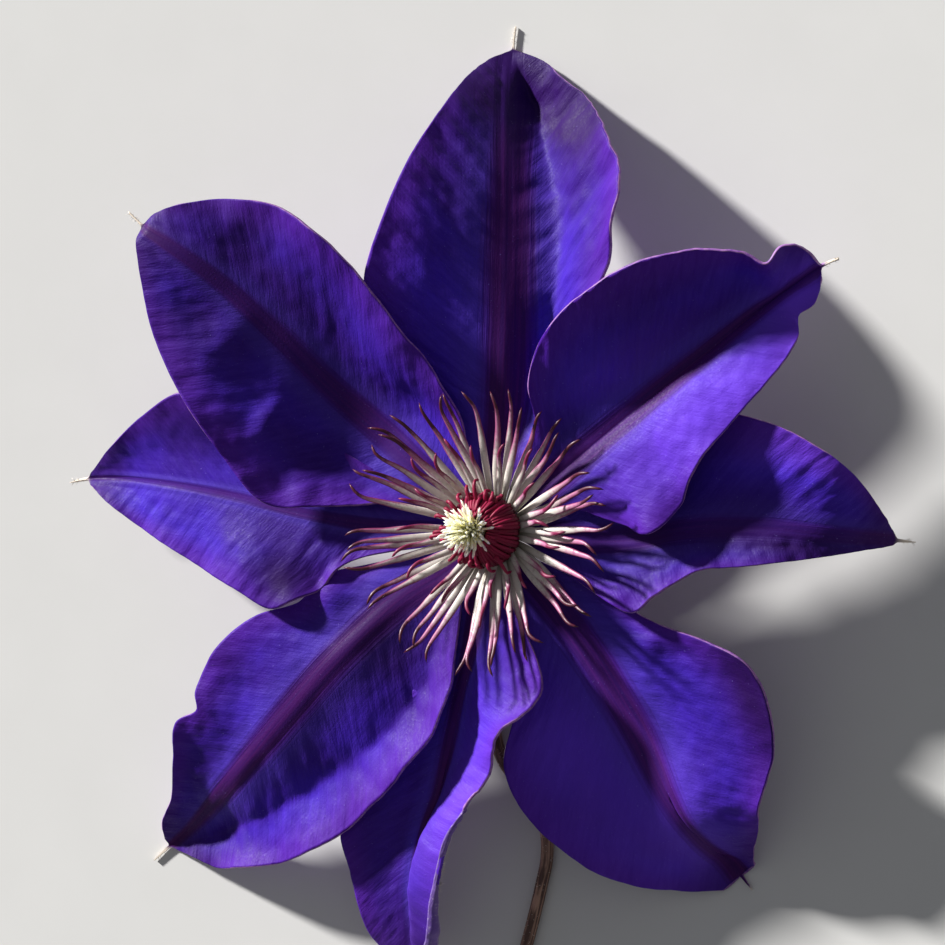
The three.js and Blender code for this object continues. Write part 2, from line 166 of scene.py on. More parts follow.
def piece_from(mesh, name, materials, material_slot, *nodes):
    """The finished piece: it rides on the flower and stands for its plain solids."""
    data = bpy.data.meshes.new(name)
    mesh.to_mesh(data)
    mesh.free()
    for polygon in data.polygons:
        polygon.use_smooth = True
    piece = bpy.data.objects.new(name, data)
    bpy.context.scene.collection.objects.link(piece)
    for material in materials:
        data.materials.append(material)
    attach(piece, "root")
    if nodes:
        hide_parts(*nodes)
    return piece


class Nodes:
    """A node tree, with a short word for each kind of node."""

    def __init__(self, tree):
        self.tree = tree

    def plug(self, value, socket):
        if isinstance(value, bpy.types.NodeSocket):
            self.tree.links.new(value, socket)
        else:
            socket.default_value = value

    def mark(self, name):
        node = self.tree.nodes.new("ShaderNodeAttribute")
        node.attribute_name = name
        return node.outputs["Fac"]

    def place(self):
        return self.tree.nodes.new("ShaderNodeTexCoord").outputs["Object"]

    def math(self, operation, first, second=0.0):
        node = self.tree.nodes.new("ShaderNodeMath")
        node.operation = operation
        self.plug(first, node.inputs[0])
        self.plug(second, node.inputs[1])
        return node.outputs[0]

    def step(self, value, low, high, bottom=0.0, top=1.0):
        node = self.tree.nodes.new("ShaderNodeMapRange")
        node.interpolation_type = "SMOOTHSTEP"
        self.plug(value, node.inputs["Value"])
        self.plug(low, node.inputs["From Min"])
        self.plug(high, node.inputs["From Max"])
        self.plug(bottom, node.inputs["To Min"])
        self.plug(top, node.inputs["To Max"])
        return node.outputs["Result"]

    def spread(self, x, y, z=0.0):
        node = self.tree.nodes.new("ShaderNodeCombineXYZ")
        for value, socket in zip((x, y, z), node.inputs):
            self.plug(value, socket)
        return node.outputs[0]

    def grain(self, vector, scale, detail=3.0, roughness=0.55):
        node = self.tree.nodes.new("ShaderNodeTexNoise")
        self.plug(vector, node.inputs["Vector"])
        self.plug(scale, node.inputs["Scale"])
        node.inputs["Detail"].default_value = detail
        node.inputs["Roughness"].default_value = roughness
        return node.outputs["Fac"]

    def mix(self, share, first, second):
        node = self.tree.nodes.new("ShaderNodeMix")
        node.data_type = "RGBA"
        self.plug(share, node.inputs["Factor"])
        self.plug(first, node.inputs["A"])
        self.plug(second, node.inputs["B"])
        return node.outputs["Result"]

    def bump(self, height, distance, strength=1.0, under=None):
        node = self.tree.nodes.new("ShaderNodeBump")
        self.plug(height, node.inputs["Height"])
        node.inputs["Distance"].default_value = distance
        node.inputs["Strength"].default_value = strength
        if under is not None:
            self.plug(under, node.inputs["Normal"])
        return node.outputs["Normal"]

    def use(self, effect, **values):
        node = self.tree.nodes.new("ShaderNodeGroup")
        node.node_tree = effect.tree
        for name, value in values.items():
            self.plug(value, node.inputs[name])
        return node.outputs


class Effect(Nodes):
    """A node group shared by several materials."""

    def __init__(self, name, takes, gives):
        super().__init__(bpy.data.node_groups.new(name, "ShaderNodeTree"))
        for way, sockets in (("INPUT", takes), ("OUTPUT", gives)):
            for socket, kind in sockets.items():
                self.tree.interface.new_socket(name=socket, in_out=way, socket_type="NodeSocket" + kind)
        self.given = self.tree.nodes.new("NodeGroupInput").outputs
        self.wanted = self.tree.nodes.new("NodeGroupOutput").inputs


class Finish(Nodes):
    """A material on one part of the plant."""

    def __init__(self, name):
        self.material = bpy.data.materials.new(name)
        self.material.use_nodes = True
        super().__init__(self.material.node_tree)
        self.surface = self.tree.nodes["Principled BSDF"]

    def set(self, socket, value):
        self.plug(value, self.surface.inputs[socket])


# Every skin of the plant has a fine grain of cells, which also varies how far it shines.
cell_grain = Effect(
    "cell_grain",
    {"Scale": "Float", "Shiny": "Float", "Dull": "Float"},
    {"Speckle": "Float", "Roughness": "Float"},
)
speckle = cell_grain.grain(cell_grain.place(), cell_grain.given["Scale"], 3, 0.65)
cell_grain.plug(speckle, cell_grain.wanted["Speckle"])
shine = cell_grain.step(speckle, 0.3, 0.7, cell_grain.given["Shiny"], cell_grain.given["Dull"])
cell_grain.plug(shine, cell_grain.wanted["Roughness"])

bark = Finish("stalk_bark")
groove_field = bark.spread(bark.math("MULTIPLY", bark.mark("along"), 0.05), bark.mark("round"))
grooves = bark.grain(groove_field, 2.6, 4)
weathering = bark.grain(bark.place(), 260, 3)
bark_cells = bark.use(cell_grain, Scale=2600, Shiny=0.5, Dull=0.75)
blotches = bark.math("ADD", bark.math("MULTIPLY", grooves, 0.8), bark.math("MULTIPLY", weathering, 0.2))
bark_colour = bark.mix(bark.step(blotches, 0.44, 0.62), bark_brown, bark_tan)
bark.set("Base Color", bark.mix(bark.mark("scar"), bark_colour, scar_pale))
bark.set("Roughness", bark_cells["Roughness"])
bark.set("Normal", bark.bump(grooves, 0.00018, 0.8, bark.bump(bark_cells["Speckle"], 0.00003, 0.6)))

stalk_line = smooth_line(stalk_route)
stalk_mesh = bmesh.new()


def stalk_width(share):
    """The stalk's own width along its line, with the faint swelling round the bud scar."""
    swelling = 0.14 * math.exp(-(((share - bud_scar_share) / 0.012) ** 2))
    close = smoothstep(0, 0.004, share) * (1 - smoothstep(0.9985, 1, share))
    return (2 * stalk_radius + swelling) * close


strand(
    stalk_mesh, stalk_line, 260, 20, stalk_width, stalk_width,
    {
        "along": lambda share, angle: share * stalk_line.length,
        "round": lambda share, angle: 1.6 * math.sin(angle),
        "scar": lambda share, angle: smoothstep(0.012, 0.004, abs(share - bud_scar_share))
        * smoothstep(0.1, 0.7, -math.cos(angle)),
    },
)
turned_body(stalk_mesh, receptacle_outline, 32)
piece_from(stalk_mesh, "stalk_bark", [bark.material], "stalk", "stalk")


# ---------------------------------------------------------------- sepals
# Eight velvety violet sepals, each grown by its narrow claw to the receptacle's edge. Three ribs
# run down the middle in a plum-coloured bar and end in a pale, hairy spine. Each is set out as
# [along, across, height] at its own bearing, across being positive on the anticlockwise side.
sepals = [
    {
        "name": "sepal_top",
        "bearing": 86,
        "midrib": [[4, 0, 14], [16, -1.3, 15.4], [31, -1.3, 16], [48, -0.1, 14.5], [62.5, 2.2, 11],
            [75, 5.2, 5], [80, 6.3, 2.4], [84, 6.8, 0.4], [88.5, 6.6, 0.3]],
        "left": [[4, 0.8, 14], [11, 4, 15.2], [22, 13, 17], [31, 19.7, 21.3], [41, 22.8, 24.5],
            [51, 20.8, 24.5], [63.5, 17.8, 20], [72.8, 14.9, 13], [79.8, 12.4, 5], [82.4, 10.4, 2.5],
            [83.7, 8.2, 0.9], [84.5, 7.1, 0.4], [88.5, 7, 0.4]],
        "right": [[4, -0.8, 14], [11, -5, 15.5], [23, -12, 17], [38, -17.5, 20], [49, -20.6, 23],
            [60, -22, 22.5], [68, -18.6, 17.5], [75, -11.5, 9.5], [80, -3.6, 4], [82.6, 0.5, 1.6],
            [83.9, 4.6, 0.6], [84.6, 6.2, 0.4], [88.5, 6.2, 0.4]],
    },
    {
        "name": "sepal_upper_left",
        "bearing": 139,
        "midrib": [[4, 0, 14], [11, 0, 14.6], [22.5, 0, 16.6], [35.5, 0, 19], [49.8, -1.8, 23],
            [63.7, -2.6, 26.5], [73.9, -1.8, 28], [80, -0.8, 28], [84, -0.9, 28]],
        "left": [[4, 0.8, 14], [9, 2.8, 16], [16.5, 8, 18.8], [24, 15.3, 21], [32.6, 22, 23.5],
            [42.5, 20.4, 26], [54.7, 17.3, 27.7], [66.3, 12.3, 28], [73.7, 6.8, 28], [79.3, 1.5, 28],
            [80.5, -0.4, 28], [84, -0.6, 28]],
        "right": [[4, -0.8, 14], [8, -3, 15.4], [14.5, -11, 18.4], [22.5, -15.1, 21], [31.8, -17.3, 25],
            [43.9, -20.2, 27.5], [54.2, -21.7, 28.6], [64.1, -19.3, 28.6], [71.8, -14, 28.4],
            [77.1, -8.5, 28.2], [79.7, -4, 28], [80.7, -1.4, 28], [84, -1.2, 28]],
    },
    {
        "name": "sepal_left",
        "bearing": 173,
        "midrib": [[4, 0, 14], [10, 1, 15.5], [20, 1.8, 17], [33, 1.3, 18], [47, 0, 17], [61.5, -0.5, 14],
            [74, 0, 10], [80.5, 1, 8], [83.5, 2, 8]],
        "left": [[4, 0.8, 14], [10, 4, 15.5], [17, 6, 17.5], [24.4, 8.5, 19], [29.3, 13.6, 20.5],
            [36.5, 18.6, 20], [44.7, 16.1, 18.5], [52.5, 13.5, 16.5], [64.3, 9, 13.5], [73.5, 5, 11],
            [80, 1.8, 8.4], [83.5, 2.3, 8]],
        "right": [[4, -0.8, 14], [10, -2.5, 14.6], [20.5, -7, 15.6], [34, -12.5, 16.8], [47.5, -17, 19],
            [59, -17, 20], [67.5, -11.5, 17], [74.5, -5.5, 12.5], [80, 0.2, 8.4], [83.5, 1.7, 8]],
    },
    {
        "name": "sepal_lower_left",
        "bearing": 225,
        "midrib": [[4, 0, 14], [11, -0.5, 15.5], [19.8, -2.3, 17.8], [34.1, -3.1, 19], [48.5, -3.2, 17],
            [64.6, -3.6, 12.5], [78, -5, 5], [84, -6, 1.6], [88, -6.5, 0.4], [92, -6.8, 0.3]],
        "left": [[4, 0.8, 14], [8, 2, 15.5], [14, 7.5, 17.5], [20.5, 13, 18.6], [26.2, 16.8, 19.5],
            [31.4, 18.9, 19], [38.5, 19.5, 18], [49, 19, 16], [63.1, 16.4, 13], [76, 9.5, 8], [83, 3, 4],
            [88, -5.6, 0.4], [92, -6.5, 0.4]],
        "right": [[4, -0.8, 14], [9, -4, 15], [18, -10, 16], [26.2, -15, 17], [33.6, -15.6, 17],
            [41.1, -19.6, 17.5], [50.6, -21.1, 16.5], [59.6, -18.8, 15], [61.5, -16.5, 14.5],
            [66.2, -18, 13.5], [72.7, -14.2, 11.5], [79.2, -10.4, 8], [85, -9.2, 4.5], [88.5, -7.4, 0.4],
            [92, -7.1, 0.4]],
    },
    {
        "name": "sepal_bottom",
        "bearing": 257,
        "midrib": [[4, 0, 14], [11, 1, 15], [21, 2.2, 16.5], [30, 1.7, 15.8], [38.5, 1.3, 14.5],
            [47, 0.8, 13], [54, -0.5, 12.1], [61, -1.2, 10.9], [67, -1.1, 9.5], [73.5, 0.2, 7.5],
            [81, 0, 5]],
        "left": [[4, 0.8, 14], [9.5, 5, 16], [16.5, 12.5, 19], [23, 17, 21.5], [29, 15.2, 22.3],
            [34.6, 11.8, 21.2], [42.7, 10.2, 19.8], [53, 5.7, 17.2], [57.5, 5, 16.2], [66, 4.2, 13.3],
            [73, 4.3, 10.8], [81, 1, 5.7]],
        "roll": [[4, 0.4, 14], [10, 2.8, 15.4], [19, 5.8, 17.2], [33, 5.8, 16.6], [46, 3.4, 15.2],
            [56, -0.2, 13.8], [65, -1.2, 11.7], [73.6, -0.2, 9.2], [81, 0.2, 5.6]],
        "right": [[4, -0.8, 14], [8, -1.5, 14.1], [12, -2.6, 14.4], [21, -6.2, 15], [33, -9.8, 14.2],
            [46.2, -14.4, 12.5], [58.7, -16.5, 11], [65.2, -14, 9.5], [71, -11.7, 7.5], [77, -8, 6],
            [81, -0.8, 4.8]],
    },
    {
        "name": "sepal_lower_right",
        "bearing": 305,
        "midrib": [[4, 0, 14], [13.5, 2, 14.5], [27.5, 3, 14.5], [40.5, 2.2, 13], [52, 0.6, 10],
            [63, -0.3, 5], [70, -0.7, 0.4], [76, -0.5, -0.8]],
        "left": [[4, 0.8, 14], [11.5, 5.5, 14.5], [20.5, 11, 15.5], [29.7, 15.5, 17], [38, 21.5, 19],
            [45.5, 26, 19.5], [53.5, 25, 18], [60.7, 20, 15.5], [67, 12.5, 11], [71, 6, 5],
            [75, 0.6, 0.6], [76, 0, 0.4]],
        "right": [[4, -0.8, 14], [11, -3, 14.5], [21, -6.5, 15], [29, -14.3, 16], [35, -21, 16],
            [42.5, -23.3, 14.5], [52, -22.3, 11], [62, -18, 6.5], [70, -9.7, 2], [75, -2, 0.4],
            [76, -1, 0.4]],
    },
    {
        "name": "sepal_right",
        "bearing": 359,
        "midrib": [[4, 0, 14], [13, -1, 15.5], [24.5, -1.2, 16.3], [37.4, 0.8, 17.5], [49.8, 1.4, 18.3],
            [62, 0.6, 16.5], [68.5, 0, 11.5], [71.5, -0.3, 8], [74, -0.6, 6.2]],
        "left": [[4, 0.8, 14], [11, 3.3, 15], [20.2, 10.8, 15.8], [31.5, 17.8, 17], [42.6, 21, 19],
            [50.2, 19.8, 20.5], [58, 16.8, 20.8], [64, 13.2, 19], [67.4, 8.5, 15], [70.9, 1, 8.4],
            [74, -0.3, 6.2]],
        "right": [[4, -0.8, 14], [10.5, -4.2, 15.5], [19, -9.5, 18], [28, -13.7, 20], [32, -10.6, 20],
            [38.5, -6.5, 19.3], [50, -5, 18.8], [60, -3.4, 16.5], [67.7, -1.8, 11.5], [71.2, -1, 7.8],
            [74, -0.9, 6.2]],
    },
    {
        "name": "sepal_upper_right",
        "bearing": 40,
        "midrib": [[4, 0, 14], [13, -1, 16.4], [26.7, -1.9, 18.5], [38.5, -2.4, 19], [49, -2.8, 18.3],
            [60.2, -3.1, 18], [68.4, -3.6, 17], [75.3, -4.3, 16.5], [78.3, -5.3, 16.5]],
        "left": [[4, 0.8, 14], [9.5, 3.5, 16], [19, 6.8, 20], [24, 12.8, 24], [33, 16.7, 27.5],
            [44, 16.8, 29], [54, 14.5, 29.5], [61, 10.5, 28.5], [67, 5.2, 26.5], [69.8, 0.6, 25],
            [73.5, 1.2, 24], [75.5, -1, 22], [76, -4, 17.8], [78.5, -5.2, 17.5]],
        "right": [[4, -0.8, 14], [11.5, -3.9, 16.6], [16.4, -9.4, 18.4], [20.2, -15.7, 20],
            [24.5, -21, 22.5], [30.5, -20.6, 22.5], [35.3, -18.5, 23.5], [45.2, -15.9, 23.5],
            [56.8, -14.3, 22], [65, -11.5, 20], [67.2, -8.5, 19], [70.5, -8.6, 18.3], [75.3, -5.3, 16.8],
            [78.3, -5.6, 16.5]],
    },
]
bar_form = {  # half width at the claw, at mid length and near the tip; how strongly it shows
    "sepal_top": (3.4, 4.0, 2.2, 0.9),
    "sepal_upper_left": (3.0, 2.3, 1.0, 0.7),
    "sepal_left": (1.4, 0.9, 0.5, 0.5),
    "sepal_lower_left": (3.2, 2.8, 1.1, 0.85),
    "sepal_bottom": (2.4, 1.9, 0.8, 0.8),
    "sepal_lower_right": (3.2, 3.4, 2.4, 0.8),
    "sepal_right": (2.6, 2.2, 1.2, 0.6),
    "sepal_upper_right": (3.2, 2.6, 1.6, 0.75),
}
# Each flank, left then right: above 1, how late it lifts towards the margin; how far out it folds
# near the claw and near the tip, as a share of the way to the margin; the fold's depth in mm.
flank_form = {
    "sepal_top": ((1.0, 0.4, 0.3, 0.0), (1.4, 0.42, 0.22, 5.6)),
    "sepal_upper_left": ((1.4, 0.4, 0.4, 0.8), (1.4, 0.4, 0.4, 0.6)),
    "sepal_left": ((1.4, 0.4, 0.4, 0.3), (1.4, 0.5, 0.5, 0.5)),
    "sepal_lower_left": ((1.4, 0.66, 0.36, 4.2), (1.3, 0.3, 0.3, 0.4)),
    "sepal_bottom": ((1.4, 0.5, 0.5, 0.0), (1.4, 0.4, 0.4, 0.5)),
    "sepal_lower_right": ((1.4, 0.3, 0.3, -0.5), (1.4, 0.35, 0.35, 0.6)),
    "sepal_right": ((1.4, 0.4, 0.4, 0.6), (1.4, 0.5, 0.5, 0.4)),
    "sepal_upper_right": ((1.1, 0.35, 0.35, 1.2), (0.6, 0.25, 0.25, -0.6)),
}
# Puckers and dents, as along, across, half length, half width and height.
puckers = {
    "sepal_upper_left": (
        (30, 0, 13, 18, -2.2), (76, 0, 12, 18, 1.4), (33, -13, 9, 5, 1.8), (57.5, 8, 3.6, 6, 1.1),
        (43.6, 11.4, 2.2, 4, 1.0), (32, 16.7, 2.4, 3, 0.8), (66, -12, 2.5, 4, 0.5),
    ),
    "sepal_left": ((45, 11, 6, 6, 1.6), (31, 12, 4, 4, -1.6), (60, 3, 5, 5, 0.4)),
    "sepal_lower_left": ((30, -9, 3.5, 3, 0.8), (70, 6, 4, 4, 0.8)),
    "sepal_lower_right": ((60, 3, 10, 12, 4.2), (32, 10.6, 2.6, 2.2, 0.8), (40, 20, 7, 7, -1.5)),
    "sepal_upper_right": ((62, 8, 2.6, 4, -1.3), (36, 10, 4, 3, 0.8)),
    "sepal_right": ((64, 10, 8, 8, 1.2), (26, -10, 3, 3, 0.8)),
}
# Painted shade where the violet deepens (above 0) and painted light where it brightens (below 0): along,
# across, half length, half width, share.
painted_light_and_shade = {
    "sepal_top": ((82, 3, 12, 12, 1.3), (72, -14, 10, 9, 1.3), (50, 0, 18, 7, 0.4), (52, -16, 14, 6, 0.4)),
    "sepal_upper_left": ((46, -4, 24, 12, 0.45), (70, 0, 10, 12, 0.3)),
    "sepal_left": ((37.5, 13, 5, 5, 1.0), (50, -12, 16, 6, 0.6)),
    "sepal_lower_left": ((28, 5, 10, 7, 0.6), (46, 4, 14, 5, 0.4), (60, -18, 10, 3, 0.3)),
    "sepal_bottom": ((40, -8, 20, 6, -0.2), (52, 8, 22, 5, -0.6)),
    "sepal_lower_right": ((38, -13, 24, 10, -0.55), (46, 24, 14, 6, 1.1), (62, -2, 12, 9, -0.5)),
    "sepal_right": ((54, 14, 12, 5, -0.3), (40, -2, 14, 3, 0.3), (58, -3, 16, 4, 0.9), (48, 5, 14, 4, 0.5)),
    "sepal_upper_right": (
        (71, -1, 7, 6, -1.0), (46, -9, 20, 7, -0.85), (36, 8, 16, 5, -0.35), (26, 5, 8, 5, 0.2),
    ),
}
wrinkling = {
    "sepal_top": 0.6, "sepal_upper_left": 0.22, "sepal_left": 0.3, "sepal_lower_left": 0.25,
    "sepal_bottom": 0.3, "sepal_lower_right": 0.3, "sepal_right": 0.35, "sepal_upper_right": 0.4,
}
rib_spacing = 1.7  # from the middle rib to each of its two neighbours
rib_half_width = 0.5
lip_share = 0.14  # of the flank, turned in over the face where a margin curls
lip_radius = 0.42
sepal_thickness = 0.5
resting_height = 0.45  # of the middle of the skin, where it lies lowest
spine_share = 0.045  # of the length
spine_half_width = taper((1 - spine_share, 0.28), (1, 0.08))
grid_rows = 190
grid_columns = 84
spine_rows = 0.06  # of the rows

deep_violet = (0.032, 0.003, 0.200, 1)
blue_violet = (0.048, 0.012, 0.440, 1)
purple_margin = (0.080, 0.008, 0.300, 1)
plum_bar = (0.068, 0.004, 0.078, 1)
plum_dark = (0.040, 0.002, 0.066, 1)
streak_blue = (0.070, 0.036, 0.400, 1)
spine_cream = (0.80, 0.70, 0.58, 1)
down_white = (0.62, 0.56, 0.52, 1)
back_mauve = (0.330, 0.220, 0.480, 1)
back_rib = (0.430, 0.290, 0.360, 1)
edge_pink = (0.300, 0.130, 0.380, 1)
dark_tip = (0.034, 0.002, 0.120, 1)
# Painted shade and painted light, laid on the sepal faces in the blobs listed above.
painted_shade_violet = (0.022, 0.001, 0.085, 1)
painted_light_violet = (0.155, 0.048, 0.740, 1)
# Painted shade in the vein furrows and painted light on their crests.
vein_furrow_shade = (0, 0, 0.02, 1)
vein_crest_light = (0.3, 0.2, 0.9, 1)
# Painted glint: bright specks where the papillae would sparkle in the light.
painted_glint = (0.40, 0.32, 0.95, 1)
back_violet = (0.130, 0.060, 0.330, 1)
back_margin = (0.095, 0.030, 0.300, 1)
edge_violet = (0.16, 0.05, 0.30, 1)


def share_of_row(row):
    """Rows close up towards the tip, and the last few make the spine."""
    if row > 1 - spine_rows:
        return 1 - spine_share * (1 - row) / spine_rows
    return (1 - spine_share) * (1 - (1 - row / (1 - spine_rows)) ** 1.15)


def rolled(centre, guide, margin, out):
    """The curve from the midrib through a halfway guide to the margin."""
    return (
        centre * (1 - out) * (1 - 2 * out)
        + guide * 4 * out * (1 - out)
        + margin * out * (2 * out - 1)
    )


def folded(position, out):
    """0 at the midrib and at the margin and 1 at the bottom of the fold between them."""
    down, up = out / position, (1 - out) / (1 - position)
    return -math.log(math.exp(-9 * down) + math.exp(-9 * up)) / 9


def curled(centre, guide, margin, share, out):
    """The flank that rolls over its guide and turns in a lip along its outer part."""
    lip = smoothstep(0.55, 0.7, share)
    flat_end = 1 - lip_share * lip
    place = rolled(centre, guide, margin, min(out / flat_end, 1))
    if out > flat_end:
        curl = (out - flat_end) / (1 - flat_end)
        turn_in = math.pi * min(curl / 0.5, 1)
        place.y += lip_radius * math.sin(turn_in) - 1.6 * lip * max(curl - 0.5, 0)
        place.z += lip_radius * (1 - math.cos(turn_in))
    return place


def flank_point(centre, margin, guide, form, share, out, side, seed):
    """A point of the smooth flank between midrib and margin, lifted and folded as the flank's form
    has it, and drawn in to the spine near the tip."""
    lateness, fold_start, fold_end, depth = form
    place = centre.lerp(margin, out)
    place.z = centre.z + (margin.z - centre.z) * out ** lateness
    if guide:
        place = curled(centre, guide(share), margin, share, out)
    fold_at = tapered(((0.3, fold_start), (0.9, fold_end)), share)
    fold_at += 0.05 * noise.noise(Vector((28 * share, side, seed)))
    place.z -= depth * folded(fold_at, out) * smoothstep(0.08, 0.3, share) * smoothstep(0.94, 0.8, share)
    spiny = smoothstep(1 - 1.15 * spine_share, 1 - 0.95 * spine_share, share)
    reach = (margin - centre).length
    spine_reach = spine_half_width(share)
    if reach > spine_reach:
        place = centre.lerp(place, 1 - spiny * (1 - spine_reach / reach))
    return place


def ripples(name, seed, along, across, out):
    """How far the skin stands off its smooth form, in mm: vein puckers, buckles and a waved margin."""
    grown = smoothstep(12, 26, along)
    slanted = along - 0.75 * abs(across)
    side = 1 if across > 0 else -1
    veins = noise.noise(Vector((slanted * 0.30, across * 0.06, seed + side)))
    fine_veins = noise.noise(Vector((slanted * 0.65, across * 0.16, seed + 7 * side)))
    dimples = noise.noise(Vector((along * 0.45, across * 0.45, seed + 60)))
    buckle = noise.noise(Vector((along * 0.085, across * 0.11, seed + 20)))
    wave = noise.noise(Vector((along * 0.15, 3 * side, seed + 40)))
    off_rib = smoothstep(0.06, 0.4, out)
    height = off_rib * (wrinkling[name] * (0.65 * veins + 0.45 * fine_veins) + 0.13 * dimples)
    height += 1.3 * buckle * out + 1.0 * wave * out ** 4
    for at, beside, half_length, half_width, rise in puckers.get(name, ()):
        away = ((along - at) / half_length) ** 2 + ((across - beside) / half_width) ** 2
        height += rise * math.exp(-away)
    height -= 0.10 * math.exp(-((across / rib_half_width) ** 2))
    height -= 0.07 * math.exp(-(((abs(across) - rib_spacing) / rib_half_width) ** 2))
    return grown * height


def sepal_skin(sepal, seed):
    """The sepal's middle surface: a grid laid along its midrib and out to both margins. Its marks tell the
    material where a point lies, how strongly each pigment shows there, and where painted shade and painted
    light lie on it."""
    midrib = smooth_line(sepal["midrib"])
    margins = {1: smooth_line(sepal["left"]), -1: smooth_line(sepal["right"])}
    guides = {1: smooth_line(sepal["roll"]) if "roll" in sepal else None, -1: None}
    turn = Matrix.Rotation(math.radians(sepal["bearing"]), 3, "Z")
    name = sepal["name"]
    forms = dict(zip((1, -1), flank_form[name]))
    *widths, strength = bar_form[name]
    skin = bmesh.new()
    bmesh.ops.create_grid(skin, x_segments=grid_rows, y_segments=grid_columns, size=1)
    marks = {
        mark: skin.verts.layers.float.new(mark)
        for mark in ("along", "across", "out", "bar", "plum", "spine", "tipward", "painted_shade", "painted_light")
    }
    free = {}
    for vert in skin.verts:
        share = share_of_row((vert.co.x + 1) / 2)
        out = abs(vert.co.y)
        side = 1 if vert.co.y > 0 else -1
        centre = midrib(share)
        margin = margins[side](share)
        place = flank_point(centre, margin, guides[side], forms[side], share, out, side, seed)
        across = side * out * (margin - centre).length
        along = share * midrib.length + 4
        width = tapered(((0, widths[0]), (0.45, widths[1]), (0.93, widths[2])), share)
        # Painted shade (above 0) and painted light (below 0) where the listed blobs fall.
        shade = sum(
            painted_darkening * math.exp(-((along - at) / half_length) ** 2 - ((across - beside) / half_width) ** 2)
            for at, beside, half_length, half_width, painted_darkening in painted_light_and_shade[name]
        )
        narrow = smoothstep(2.6, 1.1, (margins[1](share) - margins[-1](share)).length)
        values = {
            "along": along, "across": across, "out": out, "bar": abs(across) / width, "plum": strength,
            "spine": narrow * smoothstep(0.90, 0.94, share), "tipward": 0.8 * smoothstep(0.78, 0.93, share),
            "painted_shade": max(0, shade), "painted_light": max(0, -shade),
        }
        for mark, layer in marks.items():
            vert[layer] = values[mark]
        free[vert] = (along, across, out, share, place.z)
        place.z = max(resting_height, place.z)
        vert.co = place
    skin.normal_update()
    for vert, (along, across, out, share, height) in free.items():
        loose = smoothstep(0.4, 3, height) * (1 - smoothstep(0.93, 0.955, share))
        vert.co += vert.normal * ripples(name, seed, along, across, out) * loose
    for vert in skin.verts:
        vert.co.z = max(resting_height, vert.co.z)
        vert.co = (turn @ vert.co + flower_axis) * mm
    return skin


# The spine at a sepal's tip is bare cream tissue on its face, back and edge alike.
spine_tissue = Effect("spine_tissue", {"Skin": "Color"}, {"Colour": "Color"})
spine_colour = spine_tissue.mix(spine_tissue.mark("spine"), spine_tissue.given["Skin"], spine_cream)
spine_tissue.plug(spine_colour, spine_tissue.wanted["Colour"])

face = Finish("sepal_face")
along = face.mark("along")
across = face.mark("across")
out = face.mark("out")
slanted = face.math("SUBTRACT", along, face.math("MULTIPLY", face.math("ABSOLUTE", across), 0.75))
vein_field = face.grain(
    face.spread(face.math("MULTIPLY", slanted, 0.9), face.math("MULTIPLY", across, 0.26)), 1.1, 5, 0.65
)
long_streaks = face.grain(
    face.spread(face.math("MULTIPLY", along, 0.03), face.math("MULTIPLY", across, 1.5)), 1.0, 4, 0.6
)
clouds = face.grain(face.place(), 38, 3)
papillae = face.use(cell_grain, Scale=2300, Shiny=0.66, Dull=0.48)
bar = face.math("ADD", face.mark("bar"), face.math("SUBTRACT", long_streaks, 0.5))
bar_mask = face.step(bar, 1.5, 0.55)
streak_mask = face.math("MULTIPLY", face.step(bar, 0.8, 1.2), face.step(bar, 3.2, 1.3))
colour = face.mix(face.step(clouds, 0.35, 0.65), deep_violet, blue_violet)
colour = face.mix(face.step(out, 0.55, 1.0, 0.0, 0.8), colour, purple_margin)
colour = face.mix(face.math("MULTIPLY", streak_mask, 0.55), colour, streak_blue)
colour = face.mix(face.mark("tipward"), colour, dark_tip)
# The veins' colour follows their bump: painted shade in the furrows, painted light on the crests.
veined = face.mix(
    face.step(vein_field, 0.34, 0.68), face.mix(0.10, colour, vein_furrow_shade), face.mix(0.03, colour, vein_crest_light)
)
ribbed = face.mix(face.step(long_streaks, 0.40, 0.62), plum_dark, plum_bar)
# Painted light: the violet brightened inside the blobs that lighten the face.
veined = face.mix(face.mark("painted_light"), veined, painted_light_violet)
colour = face.mix(face.math("MULTIPLY", bar_mask, face.mark("plum")), veined, ribbed)
# Painted shade: the violet darkened inside the blobs that darken the face.
colour = face.mix(face.mark("painted_shade"), colour, painted_shade_violet)
# Painted glints on the cell speckle of the face.
colour = face.mix(face.step(papillae["Speckle"], 0.66, 0.80, 0.0, 0.40), colour, painted_glint)
face.set("Base Color", face.use(spine_tissue, Skin=colour)["Colour"])
face.set("Roughness", papillae["Roughness"])
face.surface.inputs["Specular IOR Level"].default_value = 0.14
face.surface.inputs["Sheen Weight"].default_value = 0.06
face.surface.inputs["Sheen Roughness"].default_value = 0.4
face.surface.inputs["Sheen Tint"].default_value = (0.25, 0.12, 1.0, 1)
off_bar = face.math("MULTIPLY", vein_field, face.step(bar, 0.6, 1.4))
vein_relief = face.bump(face.math("ADD", off_bar, face.math("MULTIPLY", long_streaks, 0.25)), 0.0003, 0.6)
face.set("Normal", face.bump(papillae["Speckle"], 0.00006, 0.7, vein_relief))

